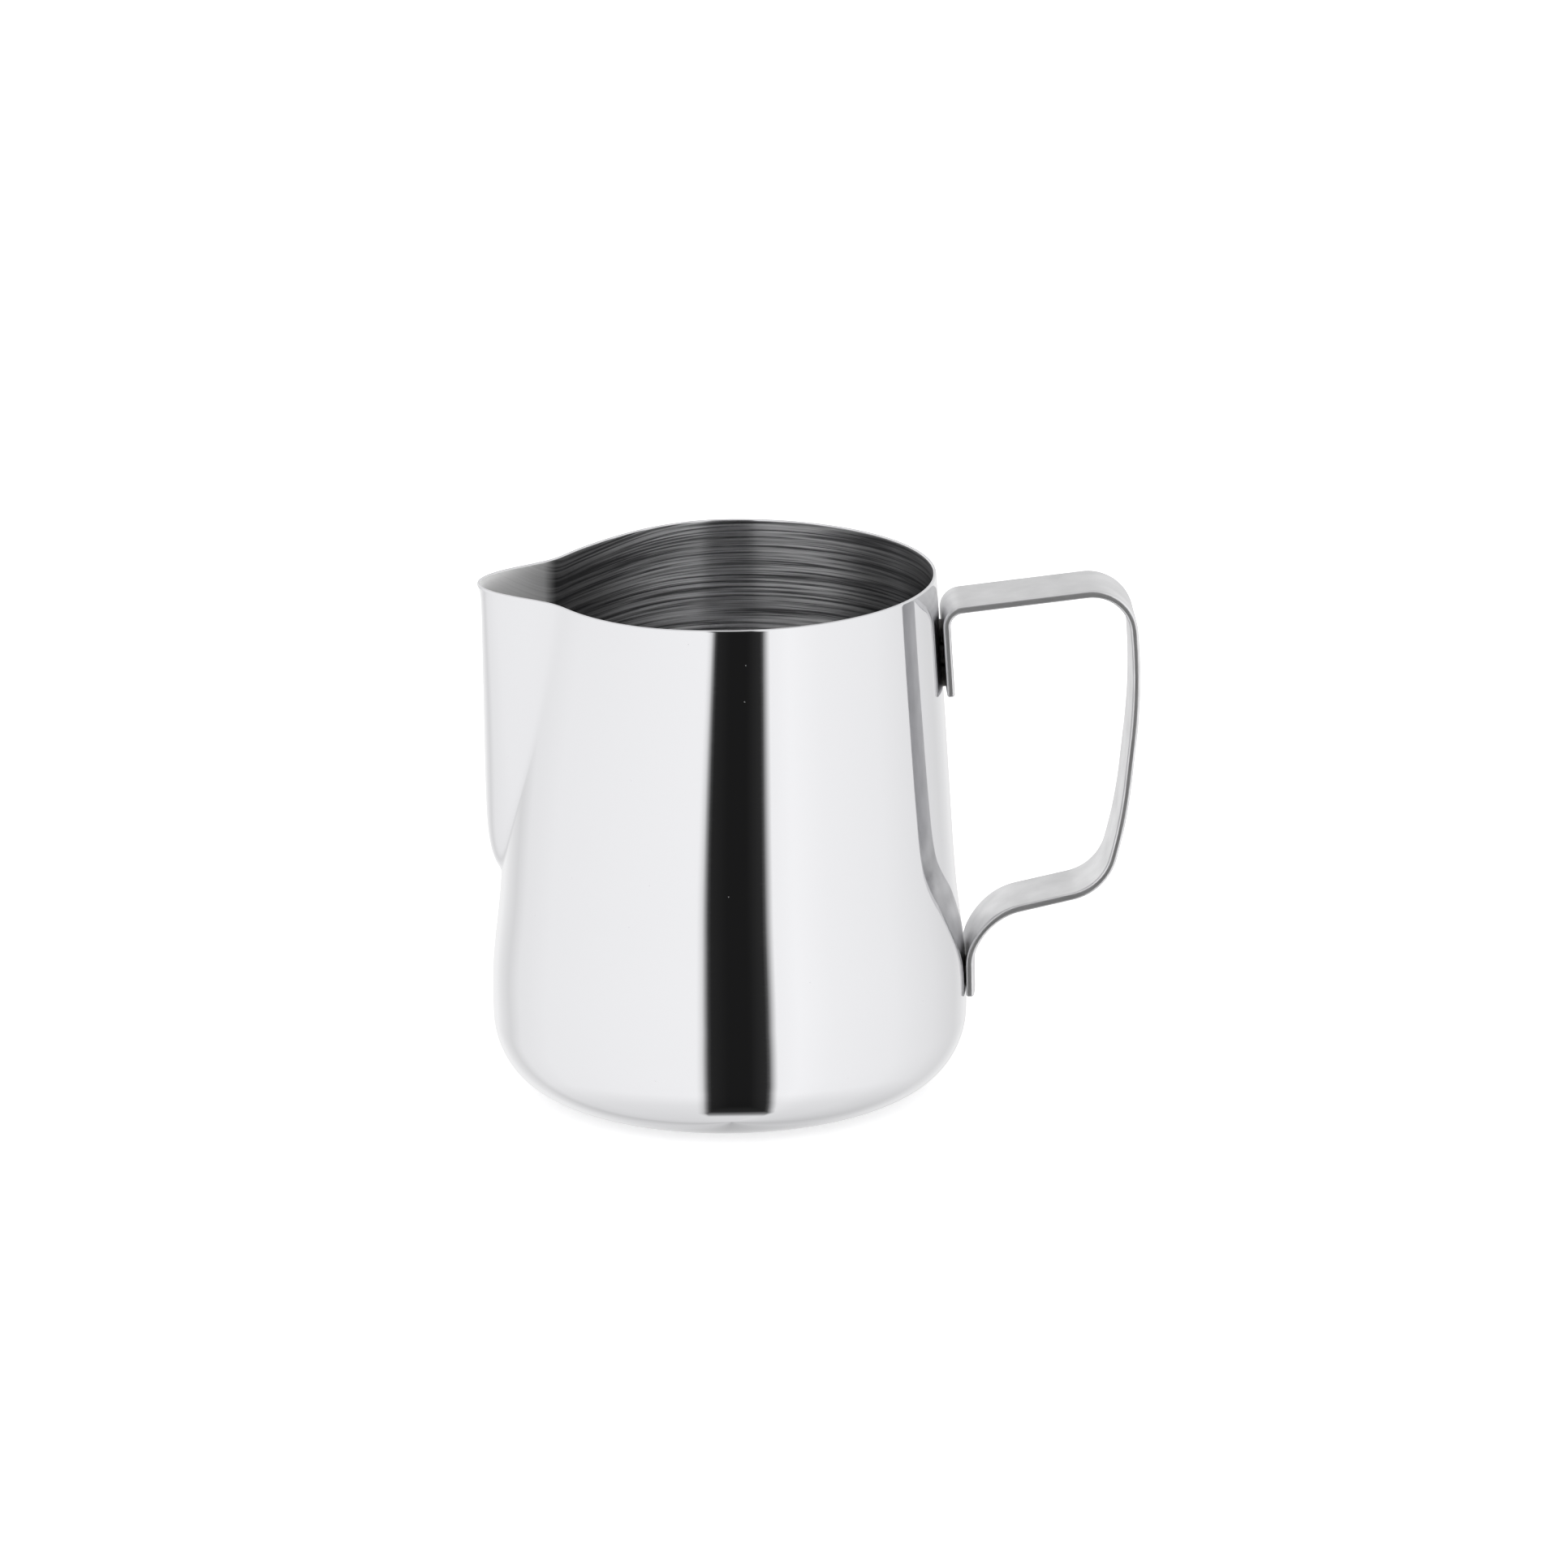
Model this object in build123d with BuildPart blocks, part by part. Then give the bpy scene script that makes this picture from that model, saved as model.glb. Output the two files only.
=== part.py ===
"""Milk frothing pitcher: a drawn stainless steel shell with a pressed spout and a strip handle.

Millimetres. The origin is on the table under the middle of the foot, +Z is up, the handle
points along +X and the spout along -X.
"""

from build123d import *

import os
from math import cos, exp, pi, radians, sin, tan

os.makedirs("parts", exist_ok=True)

# ---------------------------------------------------------------- driving dimensions
# Shell
height = 103.9  # table to the top of the rim
rim_radius = 41.8  # outside, away from the spout
taper = 0.056  # how much the wall widens for each mm down from the rim
swell = 1.05  # extra radius where the wall bellies out above the foot
swell_height = 23.0
swell_spread = 12.5
corner_width = 12.0  # the round corner between wall and foot, half an ellipse's width and height
corner_height = 14.0
wall = 0.7
floor = 0.8

# Spout, pressed out of the wall
spout_reach = 6.3  # the spout's ridge stands this much further out than the rim elsewhere
spout_root = 43.5  # height at which the ridge leaves the wall
root_rise = 4.0  # how quickly the ridge swings out above its root
spout_angle = radians(36.5)  # half the angle that the spout takes up at the rim
spout_spread = 0.58  # how quickly it widens above its root: 1 would be in proportion to the height
low_crease = 1.3  # how softly the spout runs into the wall near its root
high_crease = 4.0  # and at the rim
lip_flare = 1.0  # the very edge of the spout turns out by this much
lip_height = 1.3
flank_dent = 4.7  # the wall beside the spout is drawn in by this much at the rim
dent_rise = 1.6  # how late the dent deepens on its way up
dent_angle = radians(62.0)
dent_fade = radians(10.5)
rim_dip = 0.95  # the rim sinks a little where the metal was drawn into the spout
dip_length = 34.0

# Handle, bent from flat strip
strip_width = 15.5
strip_thickness = 1.55
strip_edge = 0.5  # tumbled corners of the strip
tab_drop = 24.1  # rim to the lower end of the folded tab
fold_drop = 6.6  # rim to the corner where the tab folds into the top run
fold_radius = 3.4
loop_reach = 38.0  # wall to the outer corner of the loop
knuckle_drop = 2.6  # rim to that corner
knuckle_radius = 8.4
grip_reach = 39.66  # wall to the back of the grip
grip_drop = 23.1
grip_radius = 115.0
heel_height = 39.4  # corner at the foot of the grip
heel_reach = 27.15
heel_radius = 10.8
shin_height = 53.2  # a gentle bend in the lower grip
shin_bulge = 1.53  # how far it stands out from the straight line between grip and heel
shin_radius = 97.0
tail_height = 17.3  # the end of the tail
tail_corner_height = 33.6
tail_radius = 12.1
tail_flare = 0.15  # the end of the tail stands this much further off the wall
tail_steps = 40  # how finely the wall's width beside the tail is looked up
run_fill = 0.995  # the share of a run that the bends at its ends may take up

# Spot welds
tab_gap = 0.4  # between tab and wall, filled at the welds
tail_gap = 0.04  # where the tail runs in along the wall, before its flare
upper_weld_diameter = 5.0
upper_weld_pitch = 4.35  # less than their width, so the three run into one seam
lower_weld_diameter = 4.0
lower_weld_pitch = 7.0
lower_weld_height = 20.4


# How finely the shell's sections are drawn
spline_steps = 32
spout_bunching = 0.6  # the share of the points' spacing that crowds them towards the spout
corner_steps = 8
belly_steps = 6
rise_shares = (0.0, 0.033, 0.075, 0.132, 0.215, 0.33, 0.46, 0.6, 0.74, 0.86, 0.934, 0.967, 1.0)
spline_shares = [step / spline_steps for step in range(-spline_steps, spline_steps)]
spline_knots = spline_shares + [1.0]
look_ahead = 0.001  # radians, for the direction of an outline


# ---------------------------------------------------------------- shape of the shell
def wall_radius(z):
    """Outside radius of the round wall at height z, above the foot's corner."""
    cone = rim_radius + taper * (height - z)
    return cone + swell * exp(-(((z - swell_height) / swell_spread) ** 2))


def spout_share(z):
    """0 at the root of the spout and 1 at the rim."""
    return max(0.0, (z - spout_root) / (height - spout_root))


def shell_radius(angle, z):
    """Outside radius at an angle from the spout's ridge, with the spout and its dents."""
    share = spout_share(z)
    radius = wall_radius(z)
    if share == 0.0:
        return radius
    depth = flank_dent * share**dent_rise
    dent = depth / (1.0 + exp((abs(angle) - dent_angle) / dent_fade))
    full_reach = rim_radius + spout_reach
    ridge = full_reach - (full_reach - wall_radius(spout_root)) * exp(-(z - spout_root) / root_rise)
    ridge += lip_flare * exp(-max(0.0, height - rim_dip - z) / lip_height)
    half_angle = spout_angle * share**spout_spread
    across = min(1.0, abs(angle) / half_angle)
    crease = low_crease + (high_crease - low_crease) * share**3
    return radius - dent + (ridge - radius + depth) * (1.0 - across**2) ** crease


def outline(z, radius_at, inset=0.0):
    """Points round the shell at height z, closer together at the spout, moved in by inset."""
    points = []
    for share in spline_shares:
        angle = pi * ((1.0 - spout_bunching) * share + spout_bunching * share**3)
        here = Vector(-cos(angle), -sin(angle)) * radius_at(angle, z)
        ahead = angle + look_ahead
        there = Vector(-cos(ahead), -sin(ahead)) * radius_at(ahead, z)
        inward = (there - here).normalized().rotate(Axis.Z, 90)
        points.append(here + inward * inset)
    return points


def corner_sections(inset, low):
    """Height and outline of each section of the foot's corner, a quarter of an ellipse."""
    centre = wall_radius(corner_height) - corner_width
    sections = []
    for step in range(corner_steps + 1):
        turn = radians(90.0) * step / corner_steps
        radius = centre + (corner_width - inset) * sin(turn)
        z = corner_height - (corner_height - low) * cos(turn)
        sections.append((z, outline(z, lambda angle, level: radius)))
    return sections


def wall_sections(inset):
    """Height and outline of each section from the corner up to the rim."""
    belly = [corner_height + (spout_root - corner_height) * step / belly_steps for step in range(belly_steps)]
    above = [spout_root + (height - spout_root) * share for share in rise_shares]
    return [(z, outline(z, shell_radius, inset)) for z in belly + above]


# ---------------------------------------------------------------- shell
with BuildPart() as pitcher_body:
    for inset, low, mode in ((0.0, 0.0, Mode.ADD), (wall, floor, Mode.SUBTRACT)):
        for sections in (corner_sections(inset, low), wall_sections(inset)):
            for z, points in sections:
                with BuildSketch(Plane.XY.offset(z)):
                    with BuildLine():
                        add(Edge.make_spline(points, periodic=True, parameters=spline_knots))
                    make_face()
            loft(mode=mode)
    # The rim is trimmed along a line that dips towards the spout.
    with BuildSketch(Plane.XZ):
        with BuildLine():
            low_rim = height - rim_dip
            past = -2 * rim_radius
            above = 2 * height
            Spline((0.0, height), (-dip_length, low_rim), tangents=[(-1, 0), (-1, 0)])
            Polyline((-dip_length, low_rim), (past, low_rim), (past, above), (0.0, above), (0.0, height))
        make_face()
    extrude(amount=2 * rim_radius, both=True, mode=Mode.SUBTRACT)
pitcher_body.part.label = "pitcher_body"
export_step(pitcher_body.part, "parts/pitcher_body.step")

# ---------------------------------------------------------------- handle
def fitting_radii(line, radii):
    """The bend radii, made tighter where a run is too short: of two neighbours, the wider one gives way."""
    corners = [Vector(*point) for point in line]
    runs = [after - before for before, after in zip(corners, corners[1:])]
    half_turns = [radians(come.get_angle(go)) / 2 for come, go in zip(runs, runs[1:])]
    reaches = [radius * tan(half_turn) for radius, half_turn in zip(radii, half_turns)]
    for first, run in enumerate(runs[1:-1]):
        wider = first if radii[first] > radii[first + 1] else first + 1
        other = 2 * first + 1 - wider
        reaches[wider] = min(reaches[wider], run_fill * run.length - reaches[other])
    reaches[0] = min(reaches[0], run_fill * runs[0].length)
    reaches[-1] = min(reaches[-1], run_fill * runs[-1].length)
    return [reach / tan(half_turn) for reach, half_turn in zip(reaches, half_turns)]


# The middle of the strip's thickness, seen from the side, from the tab's end round to the tail's.
tab_low = height - tab_drop
fold_height = height - fold_drop
grip_height = height - grip_drop
tab_stand_off = tab_gap + strip_thickness / 2
tail_levels = [tail_height + (tail_corner_height - tail_height) * step / tail_steps for step in range(tail_steps)]
belly_radius = max(wall_radius(z) for z in tail_levels)
tail_stand_off = tail_gap + strip_thickness / 2
grip_x = wall_radius(height) + grip_reach
heel_x = belly_radius + heel_reach
shin_share = (grip_height - shin_height) / (grip_height - heel_height)
shin_x = grip_x + (heel_x - grip_x) * shin_share + shin_bulge
handle_line = [
    (wall_radius(tab_low) + tab_stand_off, tab_low),
    (wall_radius(fold_height) + tab_stand_off, fold_height),
    (wall_radius(height) + loop_reach, height - knuckle_drop),
    (grip_x, grip_height),
    (shin_x, shin_height),
    (heel_x, heel_height),
    (belly_radius + tail_stand_off, tail_corner_height),
    (belly_radius + tail_stand_off + tail_flare, tail_height),
]
bend_radii = [fold_radius, knuckle_radius, grip_radius, shin_radius, heel_radius, tail_radius]
with BuildPart() as handle:
    with BuildLine(Plane.XZ) as centre_line:
        FilletPolyline(*handle_line, radius=fitting_radii(handle_line, bend_radii))
    with BuildSketch(Plane(centre_line.line @ 0, x_dir=(0, 1, 0), z_dir=centre_line.line % 0)):
        RectangleRounded(strip_width, strip_thickness, strip_edge)
    sweep(path=centre_line.line)
handle.part.label = "handle"
export_step(handle.part, "parts/handle.step")

# ---------------------------------------------------------------- spot welds
# Each weld starts inside the strip and ends inside the wall, and keeps only what fills the gap.
tab_middle = (tab_low + fold_height - fold_radius) / 2
upper_weld_heights = [tab_middle - upper_weld_pitch, tab_middle, tab_middle + upper_weld_pitch]
with BuildPart() as upper_welds:
    for z in upper_weld_heights:
        with BuildSketch(Plane.YZ.offset(wall_radius(z) - wall / 2)):
            with Locations((0, z)):
                Circle(upper_weld_diameter / 2)
        extrude(amount=wall / 2 + tab_gap + strip_thickness / 2)
    add(pitcher_body.part, mode=Mode.SUBTRACT)
    add(handle.part, mode=Mode.SUBTRACT)
upper_welds.part.label = "upper_welds"
export_step(upper_welds.part, "parts/upper_welds.step")

with BuildPart() as lower_welds:
    with BuildSketch(Plane.YZ.offset(belly_radius - wall / 2)):
        with Locations((-lower_weld_pitch / 2, lower_weld_height), (lower_weld_pitch / 2, lower_weld_height)):
            Circle(lower_weld_diameter / 2)
    extrude(amount=wall / 2 + tail_gap + strip_thickness / 2)
    add(pitcher_body.part, mode=Mode.SUBTRACT)
    add(handle.part, mode=Mode.SUBTRACT)
lower_welds.part.label = "lower_welds"
export_step(lower_welds.part, "parts/lower_welds.step")
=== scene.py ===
"""Milk frothing pitcher: a polished drawn shell with a turned inside, and a bent satin strip handle."""

from math import cos, exp, pi, radians, sin, sqrt, tan

import bpy
from mathutils import Matrix, Vector


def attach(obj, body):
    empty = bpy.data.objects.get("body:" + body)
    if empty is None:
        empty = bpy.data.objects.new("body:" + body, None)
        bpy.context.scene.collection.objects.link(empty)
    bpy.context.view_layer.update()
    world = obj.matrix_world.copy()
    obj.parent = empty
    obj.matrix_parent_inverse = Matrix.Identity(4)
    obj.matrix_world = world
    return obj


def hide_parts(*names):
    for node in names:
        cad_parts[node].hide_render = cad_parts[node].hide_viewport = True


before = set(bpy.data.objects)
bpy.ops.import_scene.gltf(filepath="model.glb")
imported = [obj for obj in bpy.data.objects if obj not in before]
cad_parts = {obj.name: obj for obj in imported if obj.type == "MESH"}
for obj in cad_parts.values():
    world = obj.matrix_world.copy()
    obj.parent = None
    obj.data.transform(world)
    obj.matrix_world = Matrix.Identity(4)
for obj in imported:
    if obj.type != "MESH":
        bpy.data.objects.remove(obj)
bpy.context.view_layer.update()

# ---------------------------------------------------------------- pitcher body
# One cup of 18/8 stainless sheet, deep drawn, with the spout pressed out of the wall.
# It is mirror polished outside; inside, the lathe's fine turned lines are left as they are.
# The rim is cut to height and its edge rounded over.
MM = 0.001  # in metres, as Blender's units are; all sizes below are in millimetres
height = 103.9
rim_radius = 41.8  # outside, away from the spout
taper = 0.056  # how much the wall widens for each mm down from the rim
swell = 1.05  # extra radius where the wall bellies out above the foot
swell_height = 23.0
swell_spread = 12.5
corner_width = 12.0  # the round corner between wall and foot, half an ellipse's width and height
corner_height = 14.0
wall = 0.7
floor_sheet = 0.8

spout_reach = 6.3  # the spout's ridge stands this much further out than the rim elsewhere
spout_root = 43.5  # height at which the ridge leaves the wall
root_rise = 4.0  # how quickly the ridge swings out above its root
spout_angle = radians(36.5)  # half the angle that the spout takes up at the rim
spout_spread = 0.58  # how quickly it widens above its root
low_crease = 1.3  # how softly the spout runs into the wall near its root
high_crease = 4.0  # and at the rim
lip_flare = 1.0  # the very edge of the spout turns out by this much
lip_height = 1.3
flank_dent = 4.7  # the wall beside the spout is drawn in by this much at the rim
dent_rise = 1.6  # how late the dent deepens on its way up
dent_angle = radians(62.0)
dent_fade = radians(10.5)
rim_dip = 0.95  # the rim sinks a little where the metal was drawn into the spout
dip_length = 34.0
look_ahead = 0.001  # radians, for the direction of an outline


def wall_radius(z):
    """Outside radius of the round wall at height z, above the foot's corner."""
    cone = rim_radius + taper * (height - z)
    return cone + swell * exp(-(((z - swell_height) / swell_spread) ** 2))


def shell_radius(angle, z):
    """Outside radius at an angle from the spout's ridge, with the spout and its dents."""
    share = max(0.0, (z - spout_root) / (height - spout_root))
    radius = wall_radius(z)
    if share == 0.0:
        return radius
    depth = flank_dent * share**dent_rise
    dent = depth / (1.0 + exp((abs(angle) - dent_angle) / dent_fade))
    full_reach = rim_radius + spout_reach
    ridge = full_reach - (full_reach - wall_radius(spout_root)) * exp(-(z - spout_root) / root_rise)
    ridge += lip_flare * exp(-max(0.0, height - rim_dip - z) / lip_height)
    across = min(1.0, abs(angle) / (spout_angle * share**spout_spread))
    crease = low_crease + (high_crease - low_crease) * share**3
    return radius - dent + (ridge - radius + depth) * (1.0 - across**2) ** crease


def smooth(share):
    """Eases a share of the way in and out."""
    return share * share * (3.0 - 2.0 * share)


def rim_height(angle):
    """Height of the rim, which sinks a little towards the spout."""
    forward = max(0.0, cos(angle)) * rim_radius
    return height - rim_dip * smooth(min(1.0, forward / dip_length))


def wall_point(angle, z, inset):
    """A point of the wall, moved in square to the outside by inset."""
    ahead = angle + look_ahead
    here = Vector((-cos(angle), -sin(angle))) * shell_radius(angle, z)
    there = Vector((-cos(ahead), -sin(ahead))) * shell_radius(ahead, z)
    along = (there - here).normalized()
    return Vector((here.x - along.y * inset, here.y + along.x * inset, z))


def corner_point(angle, turn, inset, low):
    """A point of the foot's corner, where turn goes from the floor up to the wall."""
    centre = wall_radius(corner_height) - corner_width
    radius = centre + (corner_width - inset) * sin(turn)
    z = corner_height - (corner_height - low) * cos(turn)
    return Vector((-cos(angle) * radius, -sin(angle) * radius, z))


def evenly(count, low=0.0, high=1.0):
    """count steps from low to high, without low itself."""
    return [low + (high - low) * step / count for step in range(1, count + 1)]


# How finely the mesh is drawn. Columns lie closer together at the spout.
half_turn_steps = 132
spout_bunching = 0.5
foot_rings = 5
corner_rings = 26
belly_rings = 24
spout_rings = 56
lip_rings = 14
rim_rings = 8
belly_top = 0.32  # shares of the way up the wall, where the rings' spacing changes
lip_foot = 0.955
wall_shares = evenly(belly_rings, 0.0, belly_top)
wall_shares += evenly(spout_rings, belly_top, lip_foot)
wall_shares += evenly(lip_rings, lip_foot, 1.0)
corner_turns = evenly(corner_rings, 0.0, radians(90.0))
half_turn_shares = [step / half_turn_steps for step in range(-half_turn_steps, half_turn_steps)]
angles = [pi * ((1.0 - spout_bunching) * share + spout_bunching * share**3) for share in half_turn_shares]
foot_radius = wall_radius(corner_height) - corner_width


def flat_ring(radius, z):
    """One ring of the foot or of the floor inside."""
    return [Vector((-cos(angle) * radius, -sin(angle) * radius, z)) for angle in angles]


def corner_ring(turn, inset, low):
    """One ring of the round corner."""
    return [corner_point(angle, turn, inset, low) for angle in angles]


def wall_ring(share, inset):
    """One ring of the wall: share goes from the corner up to where the rim starts to round over."""
    ring = []
    for angle in angles:
        top = rim_height(angle) - wall / 2
        ring.append(wall_point(angle, corner_height + (top - corner_height) * share, inset))
    return ring


def rim_ring(turn):
    """One ring of the rim's rounded edge, a half circle as thick as the wall."""
    ring = []
    for angle in angles:
        z = rim_height(angle) - wall / 2
        point = wall_point(angle, z, wall / 2 * (1.0 - cos(turn)))
        ring.append(point + Vector((0.0, 0.0, wall / 2 * sin(turn))))
    return ring


def bands(first, rows, columns):
    """Four-sided faces between closed rings of points, the first of which is point number first."""
    faces = []
    for row in range(rows):
        low = first + row * columns
        for column in range(columns):
            after = (column + 1) % columns
            faces.append((low + column, low + after, low + columns + after, low + columns + column))
    return faces


def new_piece(name, points, faces):
    """A smooth-shaded mesh object, from points in millimetres."""
    mesh = bpy.data.meshes.new(name)
    mesh.from_pydata([point * MM for point in points], [], faces)
    mesh.shade_smooth()
    piece = bpy.data.objects.new(name, mesh)
    bpy.context.scene.collection.objects.link(piece)
    return piece


outside = [flat_ring(foot_radius * share, 0.0) for share in evenly(foot_rings)]
outside += [corner_ring(turn, 0.0, 0.0) for turn in corner_turns]
outside += [wall_ring(share, 0.0) for share in wall_shares]
rim = [rim_ring(turn) for turn in evenly(rim_rings, 0.0, pi)]
inside = [wall_ring(share, wall) for share in reversed(wall_shares[:-1])]
inside += [corner_ring(turn, wall, floor_sheet) for turn in reversed(corner_turns)]
inside += [flat_ring(foot_radius * share, floor_sheet) for share in reversed(evenly(foot_rings))]

# From the middle of the foot out, up the wall, over the rim, and down to the middle of the floor.
rings = outside + rim + inside
columns = len(angles)
points = [Vector((0.0, 0.0, 0.0))] + [point for ring in rings for point in ring]
points.append(Vector((0.0, 0.0, floor_sheet)))
floor_middle = len(points) - 1
last_ring = 1 + (len(rings) - 1) * columns
neighbours = [(column, (column + 1) % columns) for column in range(columns)]
faces = [(0, 1 + after, 1 + column) for column, after in neighbours]
faces += bands(1, len(rings) - 1, columns)
faces += [(last_ring + column, last_ring + after, floor_middle) for column, after in neighbours]
shell = new_piece("polished_pitcher_shell", points, faces)


def linear(colour):
    """An sRGB hex colour as linear red, green, blue and alpha."""
    channels = []
    for at in (1, 3, 5):
        share = int(colour[at : at + 2], 16) / 255
        channels.append(share / 12.92 if share <= 0.04045 else ((share + 0.055) / 1.055) ** 2.4)
    return channels + [1.0]


def per_metre(size):
    """A pattern's scale, from the size of one of its cells in millimetres."""
    return 1.0 / (size * MM)


def new_material(name):
    """An empty node material and its tree, with only the output in it."""
    material = bpy.data.materials.new(name)
    material.use_nodes = True
    tree = material.node_tree
    tree.nodes.clear()
    return material, tree, tree.nodes.new("ShaderNodeOutputMaterial")


def add(tree, kind, sockets, **settings):
    """Adds a node with its settings; each socket gets a value or the output that it is linked from."""
    made = tree.nodes.new(kind)
    for name, value in settings.items():
        setattr(made, name, value)
    for name, value in sockets.items():
        if isinstance(value, bpy.types.NodeSocket):
            tree.links.new(value, made.inputs[name])
        else:
            made.inputs[name].default_value = value
    return made


def grey(value):
    """A grey of a given brightness, for a ramp that shares something out."""
    return (value, value, value, 1.0)


def set_stops(ramp, stops):
    """Gives a colour ramp its stops, each a position and a colour."""
    elements = ramp.color_ramp.elements
    elements[0].position, elements[0].color = stops[0]
    elements[-1].position, elements[-1].color = stops[-1]
    for position, colour in stops[1:-1]:
        elements.new(position).color = colour


# Mirror-polished stainless steel: nearly a clean mirror, a little greyer than silver.
# Real buffing lines are far finer than this haze, which is drawn coarse enough to show.
buff_length = 16.67
buff_pitch = 0.4
pit_spacing = 3.846
pitted_share = 0.28  # of the pattern's cells, this share has a pit
pit_core = 0.025  # distances from a pit's middle, as shares of the spacing
pit_edge = 0.055

polished, tree, output = new_material("mirror_polished_stainless")
place = add(tree, "ShaderNodeTexCoord", {}).outputs["Object"]
buff_scale = (per_metre(buff_length), per_metre(buff_length), per_metre(buff_pitch))
buff_lines = add(tree, "ShaderNodeMapping", {"Vector": place, "Scale": buff_scale}).outputs["Vector"]
buffing = add(tree, "ShaderNodeTexNoise", {"Vector": buff_lines, "Scale": 1.0, "Detail": 3.0})
haze = add(
    tree,
    "ShaderNodeMapRange",
    {"Value": buffing.outputs["Fac"], "From Min": 0.3, "From Max": 0.7, "To Min": 0.02, "To Max": 0.055},
)
# A few pin-point pits, left by use, scatter light where the mirror is dark.
pits = add(tree, "ShaderNodeTexVoronoi", {"Vector": place, "Scale": per_metre(pit_spacing)})
pick = add(tree, "ShaderNodeSeparateXYZ", {"Vector": pits.outputs["Color"]}).outputs["X"]
pitted = add(tree, "ShaderNodeMath", {0: pick, 1: 1.0 - pitted_share}, operation="GREATER_THAN")
nearness = add(
    tree,
    "ShaderNodeMapRange",
    {
        "Value": pits.outputs["Distance"],
        "From Min": pit_core,
        "From Max": pit_edge,
        "To Min": 0.32,
        "To Max": 0.0,
    },
)
pit = add(
    tree,
    "ShaderNodeMath",
    {0: nearness.outputs["Result"], 1: pitted.outputs["Value"]},
    operation="MULTIPLY",
)
rough = add(tree, "ShaderNodeMath", {0: haze.outputs["Result"], 1: pit.outputs["Value"]}, operation="ADD")
mirror = add(
    tree,
    "ShaderNodeBsdfPrincipled",
    {"Base Color": linear("#d7d7d9"), "Metallic": 1.0, "Roughness": rough.outputs["Value"]},
)
tree.links.new(mirror.outputs["BSDF"], output.inputs["Surface"])

# Turned stainless steel: the lathe's lines run round the cup, so light smears up and down it.
# Real cuts are finer than this pattern, which is drawn coarse enough to show them.
cut_length = 41.67
cut_pitch = 2 / 3
cut_depth = 0.1
spout_start = -30.0  # along X, where the metal starts to change towards the spout
spout_end = -50.0
bright_half = 10.0  # either side of the middle, along X, before the painted shade starts
dark_half = 34.0

turned, tree, output = new_material("turned_stainless")
place = add(tree, "ShaderNodeTexCoord", {}).outputs["Object"]
axes = add(tree, "ShaderNodeSeparateXYZ", {"Vector": place})
x = axes.outputs["X"]
y = axes.outputs["Y"]
flat = add(tree, "ShaderNodeCombineXYZ", {"X": x, "Y": y, "Z": 0.0})
radius = add(tree, "ShaderNodeVectorMath", {0: flat.outputs["Vector"]}, operation="LENGTH").outputs["Value"]
# Height less radius changes over the floor as well as up the wall, so both get lines.
tool_way = add(tree, "ShaderNodeMath", {0: axes.outputs["Z"], 1: radius}, operation="SUBTRACT")
lathe = add(tree, "ShaderNodeCombineXYZ", {"X": x, "Y": y, "Z": tool_way.outputs["Value"]})
cut_scale = (per_metre(cut_length), per_metre(cut_length), per_metre(cut_pitch))
cut_lines = add(tree, "ShaderNodeMapping", {"Vector": lathe.outputs["Vector"], "Scale": cut_scale})
cuts = add(
    tree,
    "ShaderNodeTexNoise",
    {"Vector": cut_lines.outputs["Vector"], "Scale": 1.0, "Detail": 4.0, "Roughness": 0.62},
)
# The cut lines are partly painted: their light and dark tones in the colour stand in for painted glints and
# painted shade along the lines.
tone = add(tree, "ShaderNodeValToRGB", {"Fac": cuts.outputs["Fac"]})
set_stops(tone, [(0.4, linear("#6c6c6e")), (0.54, linear("#dcdcde")), (0.62, linear("#fdfdfe"))])
# Painted shade: the turned metal's colour gets darker towards both sides.
sideways = add(tree, "ShaderNodeMath", {0: x}, operation="ABSOLUTE")
side_shade_share = add(
    tree,
    "ShaderNodeMapRange",
    {
        "Value": sideways.outputs["Value"],
        "From Min": bright_half * MM,
        "From Max": dark_half * MM,
        "To Min": 0.0,
        "To Max": 0.7,
    },
    interpolation_type="SMOOTHSTEP",
)
painted_side_shade = add(
    tree,
    "ShaderNodeMix",
    {0: side_shade_share.outputs["Result"], 6: tone.outputs["Color"], 7: linear("#4a4a4c")},
    data_type="RGBA",
)
# In the spout the metal is painted lighter, a painted reflection of the bright tent on the spout's flaring
# wall, and it scatters light more evenly.
spout_way = add(
    tree,
    "ShaderNodeMapRange",
    {"Value": x, "From Min": spout_start * MM, "From Max": spout_end * MM, "To Min": 0.0, "To Max": 1.0},
)
spout_zone = add(tree, "ShaderNodeValToRGB", {"Fac": spout_way.outputs["Result"]})
set_stops(spout_zone, [(0.17, grey(0.0)), (0.29, grey(0.62)), (0.85, grey(1.0))])
painted_spout_light = add(
    tree,
    "ShaderNodeMix",
    {0: spout_zone.outputs["Color"], 6: painted_side_shade.outputs[2], 7: linear("#fafafa")},
    data_type="RGBA",
)
matt = add(
    tree,
    "ShaderNodeMapRange",
    {
        "Value": spout_zone.outputs["Color"],
        "From Min": 0.0,
        "From Max": 0.6,
        "To Min": 0.315,
        "To Max": 0.42,
    },
)
grooves = add(
    tree,
    "ShaderNodeBump",
    {"Height": cuts.outputs["Fac"], "Strength": 0.4, "Distance": cut_depth * MM},
)
around = add(tree, "ShaderNodeTangent", {}, direction_type="RADIAL", axis="Z")
cut_metal = add(
    tree,
    "ShaderNodeBsdfPrincipled",
    {
        "Base Color": painted_spout_light.outputs[2],
        "Metallic": 1.0,
        "Roughness": matt.outputs["Result"],
        "Anisotropic": 1.0,
        "Anisotropic Rotation": 0.25,
        "Tangent": around.outputs["Tangent"],
        "Normal": grooves.outputs["Normal"],
    },
)
tree.links.new(cut_metal.outputs["BSDF"], output.inputs["Surface"])

shell.data.materials.append(polished)
shell.data.materials.append(turned)
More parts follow.
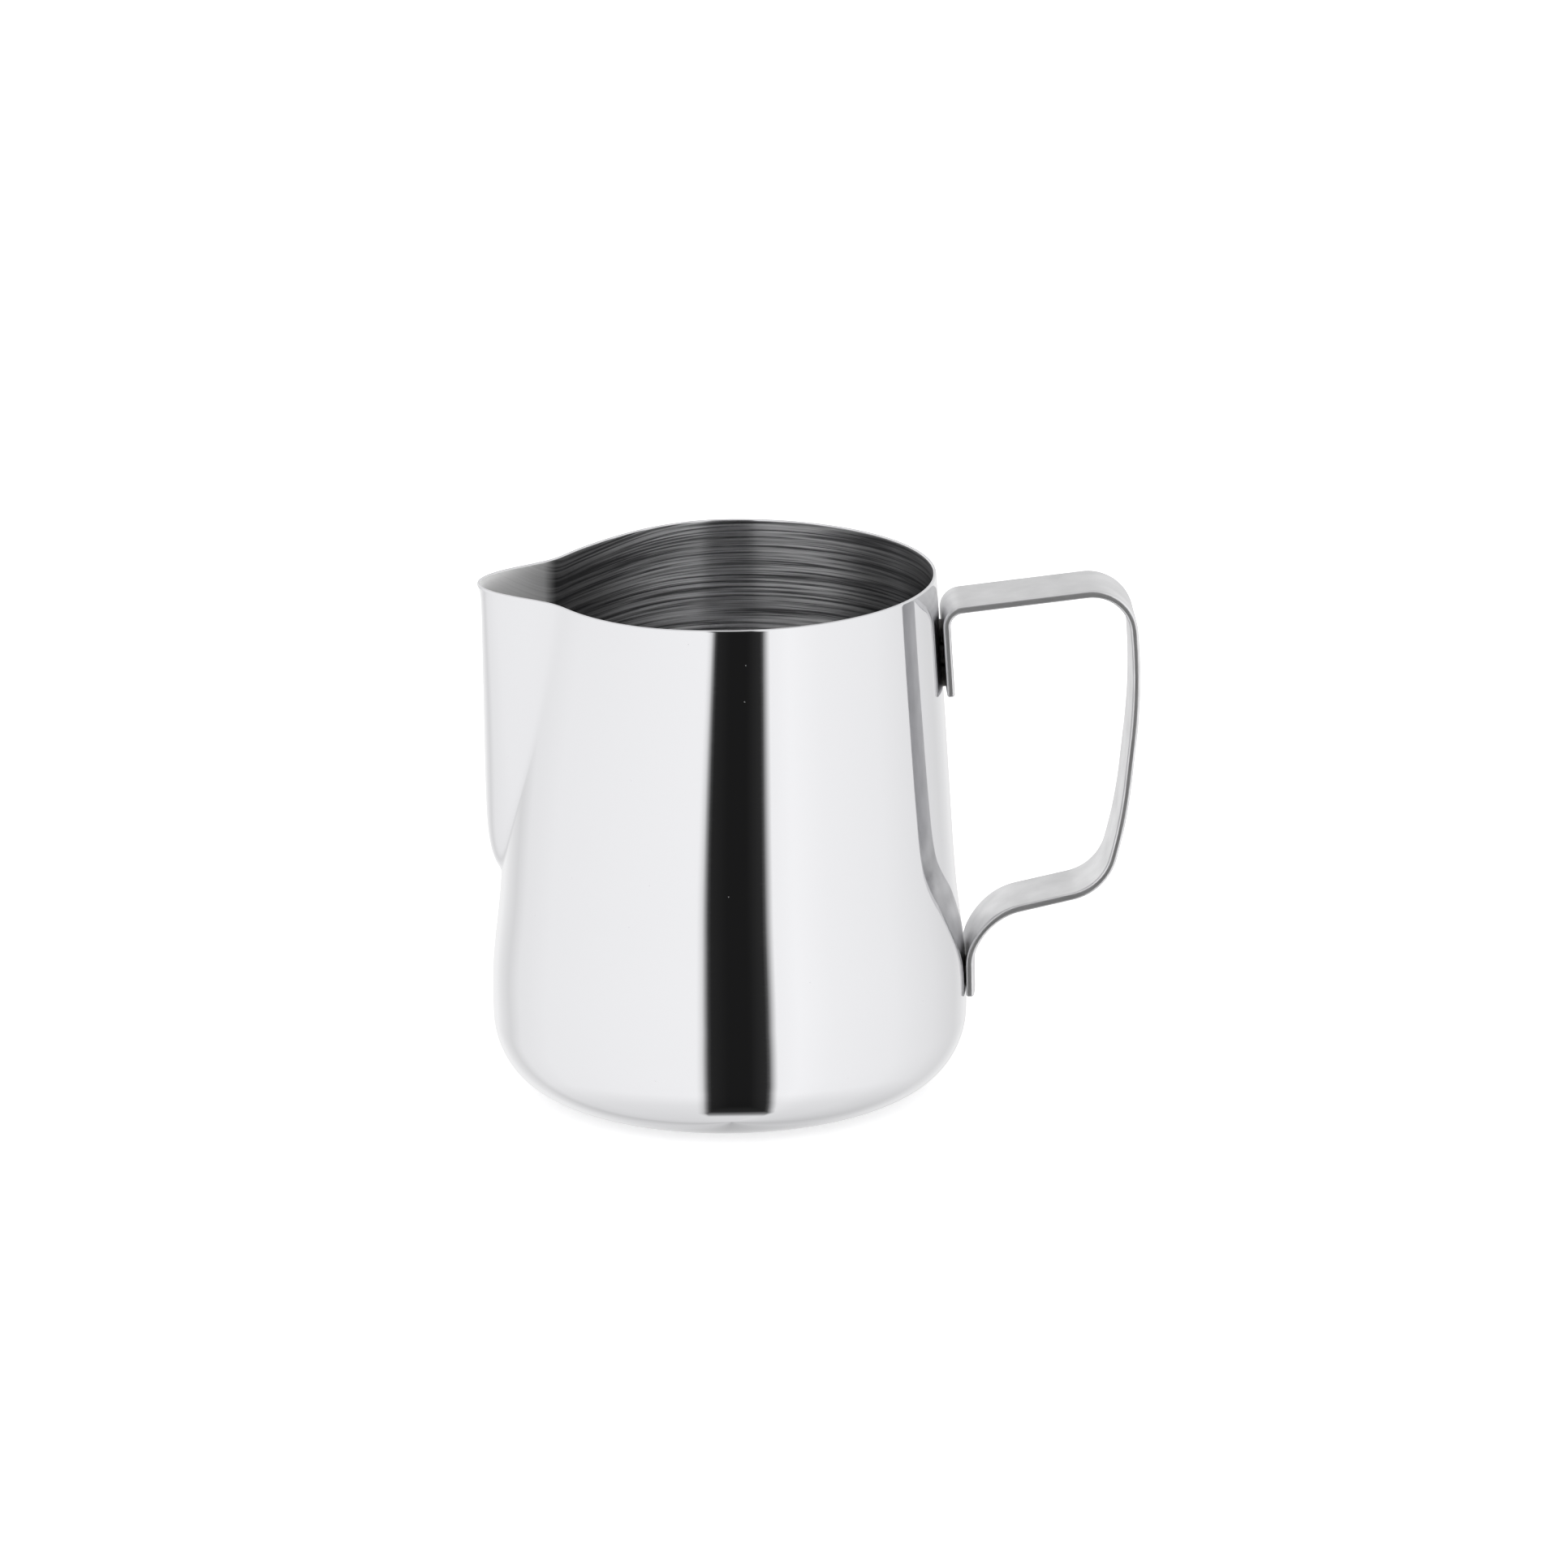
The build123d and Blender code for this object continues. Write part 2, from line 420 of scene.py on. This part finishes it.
# The polished faces come first; the rim's last row, on its inner side, is turned already.
polished_faces = columns * (len(outside) + len(rim) - 1)
for face in shell.data.polygons:
    if face.index >= polished_faces:
        face.material_index = 1
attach(shell, "root")
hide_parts("pitcher_body")

# ---------------------------------------------------------------- handle
# Flat stainless strip, sheared to width, tumbled until its edges are round and its faces satin,
# and bent cold into a loop. Its tab and its dished tail are spot welded to the wall.
strip_width = 15.5
strip_thickness = 1.55
strip_edge = 0.5  # tumbled corners of the strip
tab_drop = 24.1  # rim to the lower end of the folded tab
fold_drop = 6.6  # rim to the corner where the tab folds into the top run
fold_radius = 3.4
loop_reach = 38.0  # wall to the outer corner of the loop
knuckle_drop = 2.6  # rim to that corner
knuckle_radius = 8.4
grip_reach = 39.66  # wall to the back of the grip
grip_drop = 23.1
grip_radius = 115.0
heel_height = 39.4  # corner at the foot of the grip
heel_reach = 27.15
heel_radius = 10.8
shin_height = 53.2  # a gentle bend in the lower grip
shin_bulge = 1.53  # how far it stands out from the straight line between grip and heel
shin_radius = 97.0
tail_height = 17.3  # the end of the tail
tail_corner_height = 33.6
tail_radius = 12.1
tail_flare = 0.15  # the end of the tail stands this much further off the wall
tail_steps = 40  # how finely the wall's width beside the tail is looked up
tab_gap = 0.4
tail_gap = 0.04
dish_run = 9.0  # below its corner, the tail takes this far to reach its full dish
dish_reach = 6.0  # the strip is dished only where it is this near to the belly

# The middle of the strip's thickness, seen from the side, from the tab's end round to the tail's.
tab_low = height - tab_drop
fold_height = height - fold_drop
grip_height = height - grip_drop
tail_rise = tail_corner_height - tail_height
belly_radius = max(wall_radius(tail_height + tail_rise * step / tail_steps) for step in range(tail_steps))
tab_stand_off = tab_gap + strip_thickness / 2
tail_stand_off = tail_gap + strip_thickness / 2
grip_x = wall_radius(height) + grip_reach
heel_x = belly_radius + heel_reach
shin_share = (grip_height - shin_height) / (grip_height - heel_height)
corners = [
    Vector((wall_radius(tab_low) + tab_stand_off, tab_low)),
    Vector((wall_radius(fold_height) + tab_stand_off, fold_height)),
    Vector((wall_radius(height) + loop_reach, height - knuckle_drop)),
    Vector((grip_x, grip_height)),
    Vector((grip_x + (heel_x - grip_x) * shin_share + shin_bulge, shin_height)),
    Vector((heel_x, heel_height)),
    Vector((belly_radius + tail_stand_off, tail_corner_height)),
    Vector((belly_radius + tail_stand_off + tail_flare, tail_height)),
]
bend_radii = [fold_radius, knuckle_radius, grip_radius, shin_radius, heel_radius, tail_radius]

# How finely the strip is drawn
run_step = 1.2
arc_step = 0.6
least_arcs = 4
edge_steps = 6
face_steps = 12
end_steps = 5
least_radius = 0.02  # of the section's corners, at the very end of the strip


def straight_run(start, end, along):
    """Points of a straight run without its end, each with the direction there."""
    steps = max(1, round((end - start).length / run_step))
    return [(start.lerp(end, step / steps), along) for step in range(steps)]


def rounded_path(corners, radii):
    """Points along straight runs joined by tangent arcs, each with the direction of the path there."""
    path = []
    start = corners[0]
    for before, corner, after, radius in zip(corners, corners[1:], corners[2:], radii):
        come = (corner - before).normalized()
        go = (after - corner).normalized()
        side = 1.0 if come.x * go.y - come.y * go.x > 0 else -1.0
        turn = come.angle(go)
        entry = corner - come * radius * tan(turn / 2)
        path += straight_run(start, entry, come)
        centre = entry + Vector((-come.y, come.x)) * side * radius
        arcs = max(least_arcs, round(radius * turn / arc_step))
        for step in range(arcs):
            part = Matrix.Rotation(side * turn * step / arcs, 2)
            path.append((centre + part @ (entry - centre), part @ come))
        start = centre + Matrix.Rotation(side * turn, 2) @ (entry - centre)
    last = (corners[-1] - start).normalized()
    return path + straight_run(start, corners[-1], last) + [(corners[-1], last)]


def strip_section(inset):
    """The strip's rounded section, (across, through) in millimetres, shrunk by inset."""
    radius = max(least_radius, strip_edge - inset)
    half_width = strip_width / 2 - inset - radius
    half_depth = strip_thickness / 2 - inset - radius
    section = []
    for quarter, (side_a, side_b) in enumerate(((1, 1), (-1, 1), (-1, -1), (1, -1))):
        for step in range(edge_steps + 1):
            turn = radians(90.0) * (quarter + step / edge_steps)
            across = side_a * half_width + radius * cos(turn)
            section.append((across, side_b * half_depth + radius * sin(turn)))
        if quarter in (0, 2):
            for step in range(1, face_steps):
                section.append((side_a * half_width * (1 - 2 * step / face_steps), section[-1][1]))
    return section


def rounded_end(tip, along, inward):
    """Stations of a rounded end from its tip to the full section: place, direction and inset."""
    stations = []
    for step in range(end_steps + 1):
        turn = radians(90.0) * (1 - step / end_steps)
        place = tip + along * inward * strip_edge * (1 - sin(turn))
        stations.append((place, along, strip_edge * (1 - cos(turn))))
    return stations


def dish(x, across, z):
    """How far the strip is pressed towards the axis where its tail hugs the round wall."""
    if x > belly_radius + dish_reach:
        return 0.0
    share = min(1.0, max(0.0, (tail_corner_height - z) / dish_run))
    return smooth(share) * (belly_radius - sqrt(belly_radius**2 - across**2))


path = rounded_path(corners, bend_radii)
tab_tip, tab_way = path[0]
tail_tip, tail_way = path[-1]
end_length = 1.2 * strip_edge  # the path's own points start again beyond the rounded ends
stations = rounded_end(tab_tip, tab_way, 1.0)
for place, along in path:
    if min((place - tab_tip).length, (place - tail_tip).length) > end_length:
        stations.append((place, along, 0.0))
stations += reversed(rounded_end(tail_tip, tail_way, -1.0))

points = []
for place, along, inset in stations:
    for across, through in strip_section(inset):
        x = place.x - along.y * through
        z = place.y + along.x * through
        points.append(Vector((x - dish(x, across, z), across, z)))
count = len(strip_section(0.0))
faces = [tuple(range(count)), tuple(reversed(range(len(points) - count, len(points))))]
faces += [tuple(reversed(face)) for face in bands(0, len(stations) - 1, count)]
handle = new_piece("satin_strip_handle", points, faces)
handle.modifiers.new("flat faces stay flat", "WEIGHTED_NORMAL")

# Tumbled stainless steel: an even, soft satin from the stones, with faint mottling.
# The stones' real marks are finer than this pattern, which is drawn coarse enough to show them.
stone_mark = 1.111
mark_depth = 0.1
mottle_size = 6.25

satin, tree, output = new_material("tumbled_stainless")
place = add(tree, "ShaderNodeTexCoord", {}).outputs["Object"]
stones = add(tree, "ShaderNodeTexNoise", {"Vector": place, "Scale": per_metre(stone_mark), "Detail": 4.0})
mottle = add(tree, "ShaderNodeTexNoise", {"Vector": place, "Scale": per_metre(mottle_size), "Detail": 3.0})
tone = add(tree, "ShaderNodeValToRGB", {"Fac": mottle.outputs["Fac"]})
set_stops(tone, [(0.3, linear("#d1d1d2")), (0.7, linear("#dededf"))])
rubbed = add(
    tree,
    "ShaderNodeMapRange",
    {"Value": mottle.outputs["Fac"], "From Min": 0.3, "From Max": 0.7, "To Min": 0.38, "To Max": 0.33},
)
peened = add(
    tree,
    "ShaderNodeBump",
    {"Height": stones.outputs["Fac"], "Strength": 0.25, "Distance": mark_depth * MM},
)
satin_metal = add(
    tree,
    "ShaderNodeBsdfPrincipled",
    {
        "Base Color": tone.outputs["Color"],
        "Metallic": 1.0,
        "Roughness": rubbed.outputs["Result"],
        "Normal": peened.outputs["Normal"],
    },
)
tree.links.new(satin_metal.outputs["BSDF"], output.inputs["Surface"])
handle.data.materials.append(satin)
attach(handle, "root")
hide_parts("handle")

# ---------------------------------------------------------------- spot welds
# Nuggets of fused steel between strip and wall, made by two electrodes pressed together.
# They are left as they came off the electrodes.

# Fused steel with scale left on it: dull, and unevenly grey in patches.
scale_patch = 0.7143

weld, tree, output = new_material("spot_weld_steel")
place = add(tree, "ShaderNodeTexCoord", {}).outputs["Object"]
scale = add(tree, "ShaderNodeTexNoise", {"Vector": place, "Scale": per_metre(scale_patch), "Detail": 3.0})
tone = add(tree, "ShaderNodeValToRGB", {"Fac": scale.outputs["Fac"]})
set_stops(tone, [(0.0, linear("#4c4b4a")), (1.0, linear("#8a8886"))])
scaled_metal = add(
    tree,
    "ShaderNodeBsdfPrincipled",
    {"Base Color": tone.outputs["Color"], "Metallic": 1.0, "Roughness": 0.55},
)
tree.links.new(scaled_metal.outputs["BSDF"], output.inputs["Surface"])
for name in ("upper_welds", "lower_welds"):
    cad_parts[name].data.materials.clear()
    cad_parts[name].data.materials.append(weld)

# ---------------------------------------------------------------- studio
# A white cloth tent round a lit white table, with a dark slot in its front for the lens.
# The polished wall mirrors the tent alone, because the table is left out of reflections.
# Past the pitcher the camera sees plain white and not the tent.
tent_strength = 1.3

world = bpy.data.worlds.new("white_tent")
world.use_nodes = True
bpy.context.scene.world = world
tree = world.node_tree
tree.nodes.clear()
output = tree.nodes.new("ShaderNodeOutputWorld")


def angle_stops(reach, stops):
    """Stops in degrees and brightness, for a ramp that goes from -reach to reach."""
    return [((angle + reach) / (2 * reach), grey(brightness)) for angle, brightness in stops]


# Azimuth is 0 straight in front and grows towards the handle; elevation is 0 level with the table.
way = add(tree, "ShaderNodeTexCoord", {}).outputs["Generated"]
axes = add(tree, "ShaderNodeSeparateXYZ", {"Vector": way})
forward = add(tree, "ShaderNodeMath", {0: axes.outputs["Y"], 1: -1.0}, operation="MULTIPLY").outputs["Value"]
across = axes.outputs["X"]
azimuth = add(tree, "ShaderNodeMath", {0: across, 1: forward}, operation="ARCTAN2").outputs["Value"]
elevation = add(tree, "ShaderNodeMath", {0: axes.outputs["Z"]}, operation="ARCSINE").outputs["Value"]
turn_share = add(
    tree,
    "ShaderNodeMapRange",
    {"Value": azimuth, "From Min": -pi, "From Max": pi, "To Min": 0.0, "To Max": 1.0},
).outputs["Result"]
rise_share = add(
    tree,
    "ShaderNodeMapRange",
    {"Value": elevation, "From Min": -pi / 2, "From Max": pi / 2, "To Min": 0.0, "To Max": 1.0},
).outputs["Result"]

# The cloth is brightest in front. It fades, unevenly, towards the back, and to the top and bottom.
cloth = add(tree, "ShaderNodeValToRGB", {"Fac": turn_share})
cloth_stops = [
    (-180.0, 0.6),
    (-170.0, 0.78),
    (-158.0, 0.84),
    (-136.0, 0.72),
    (-124.0, 0.86),
    (-100.0, 0.93),
    (-60.0, 0.96),
    (-22.0, 0.98),
    (22.0, 0.98),
    (32.0, 1.02),
    (50.0, 0.97),
    (85.0, 0.93),
    (115.0, 0.84),
    (140.0, 0.72),
    (160.0, 0.78),
    (180.0, 0.6),
]
set_stops(cloth, angle_stops(180.0, cloth_stops))
fade = add(tree, "ShaderNodeValToRGB", {"Fac": rise_share})
fade_stops = [
    (-90.0, 0.76),
    (-70.0, 0.81),
    (-55.0, 0.86),
    (-40.0, 0.98),
    (25.0, 1.0),
    (60.0, 0.8),
    (90.0, 0.75),
]
set_stops(fade, angle_stops(90.0, fade_stops))
tent = add(
    tree,
    "ShaderNodeMath",
    {0: cloth.outputs["Color"], 1: fade.outputs["Color"]},
    operation="MULTIPLY",
)

# Low down the slot runs on towards the pitcher, so it takes up a wider angle from there.
nearing = add(tree, "ShaderNodeValToRGB", {"Fac": rise_share})
nearing_stops = [(-70.0, 0.51), (-64.0, 0.615), (-56.0, 0.72), (-46.0, 0.825), (-36.0, 0.9), (-11.0, 1.0)]
set_stops(nearing, angle_stops(90.0, nearing_stops))
widened = add(tree, "ShaderNodeMath", {0: azimuth, 1: nearing.outputs["Color"]}, operation="MULTIPLY")
# Above the level it leans to the spout's side.
leaning = add(
    tree,
    "ShaderNodeMapRange",
    {
        "Value": elevation,
        "From Min": radians(2.0),
        "From Max": radians(14.0),
        "To Min": 0.0,
        "To Max": radians(4.5),
    },
)
leant = add(
    tree,
    "ShaderNodeMath",
    {0: widened.outputs["Value"], 1: leaning.outputs["Result"]},
    operation="ADD",
)
slot_share = add(
    tree,
    "ShaderNodeMapRange",
    {"Value": leant.outputs["Value"], "From Min": -pi, "From Max": pi, "To Min": 0.0, "To Max": 1.0},
)
slot = add(tree, "ShaderNodeValToRGB", {"Fac": slot_share.outputs["Result"]})
slot_stops = [
    (-16.4, 1.0),
    (-14.1, 0.75),
    (-11.9, 0.08),
    (-10.0, 0.02),
    (-2.0, 0.012),
    (8.0, 0.012),
    (16.6, 0.03),
    (20.9, 1.0),
]
set_stops(slot, angle_stops(180.0, slot_stops))
slot_ends = add(tree, "ShaderNodeValToRGB", {"Fac": rise_share})
slot_end_stops = [
    (-77.0, 1.0),
    (-72.0, 0.3),
    (-67.0, 0.03),
    (-50.0, 0.0),
    (38.0, 0.0),
    (52.0, 0.4),
    (66.0, 1.0),
]
set_stops(slot_ends, angle_stops(90.0, slot_end_stops))
opening = add(
    tree,
    "ShaderNodeMath",
    {0: slot.outputs["Color"], 1: slot_ends.outputs["Color"]},
    operation="MAXIMUM",
)
mirrored = add(
    tree,
    "ShaderNodeMath",
    {0: tent.outputs["Value"], 1: opening.outputs["Value"]},
    operation="MULTIPLY",
)

seen = tree.nodes.new("ShaderNodeLightPath").outputs["Is Camera Ray"]
tent_light = add(
    tree,
    "ShaderNodeBackground",
    {"Color": mirrored.outputs["Value"], "Strength": tent_strength},
)
backdrop = add(tree, "ShaderNodeBackground", {"Color": (1.0, 1.0, 1.0, 1.0), "Strength": 1.0})
both = add(
    tree,
    "ShaderNodeMixShader",
    {0: seen, 1: tent_light.outputs["Background"], 2: backdrop.outputs["Background"]},
)
tree.links.new(both.outputs["Shader"], output.inputs["Surface"])

# The table is a wide sheet of matt white acrylic that gives off a little light, as if lit from below.
table_half = 2000.0
table_corners = [
    Vector((-table_half, -table_half, 0.0)),
    Vector((table_half, -table_half, 0.0)),
    Vector((table_half, table_half, 0.0)),
    Vector((-table_half, table_half, 0.0)),
]
table = new_piece("pale_table", table_corners, [(0, 1, 2, 3)])
acrylic, tree, output = new_material("lit_white_acrylic")
lit_sheet = add(
    tree,
    "ShaderNodeBsdfPrincipled",
    {
        "Base Color": linear("#ffffff"),
        "Roughness": 0.9,
        "Emission Color": linear("#ffffff"),
        "Emission Strength": 0.45,
    },
)
tree.links.new(lit_sheet.outputs["BSDF"], output.inputs["Surface"])
table.data.materials.append(acrylic)
table.visible_glossy = False
# Colours come out as they are set, with no film curve over them.
bpy.context.scene.view_settings.view_transform = "Standard"

# ---------------------------------------------------------------- camera
# A long lens about 1.4 m away, far enough back that the pitcher hardly narrows with distance.
# It looks down by 17 degrees, at a point a little to the handle's side, and is rolled slightly.
camera_place = Vector((-22.35, -1390.84, 488.44)) * MM
aim = Vector((11.3, 0.0, 60.2)) * MM
roll = radians(-0.598)

lens = bpy.data.cameras.new("long_lens")
lens.sensor_width = 36.0
lens.lens = 167.9
lens.clip_end = 20.0
camera = bpy.data.objects.new("camera", lens)
bpy.context.scene.collection.objects.link(camera)
facing = (aim - camera_place).to_track_quat("-Z", "Y").to_matrix() @ Matrix.Rotation(roll, 3, "Z")
camera.matrix_world = Matrix.Translation(camera_place) @ facing.to_4x4()
bpy.context.scene.camera = camera
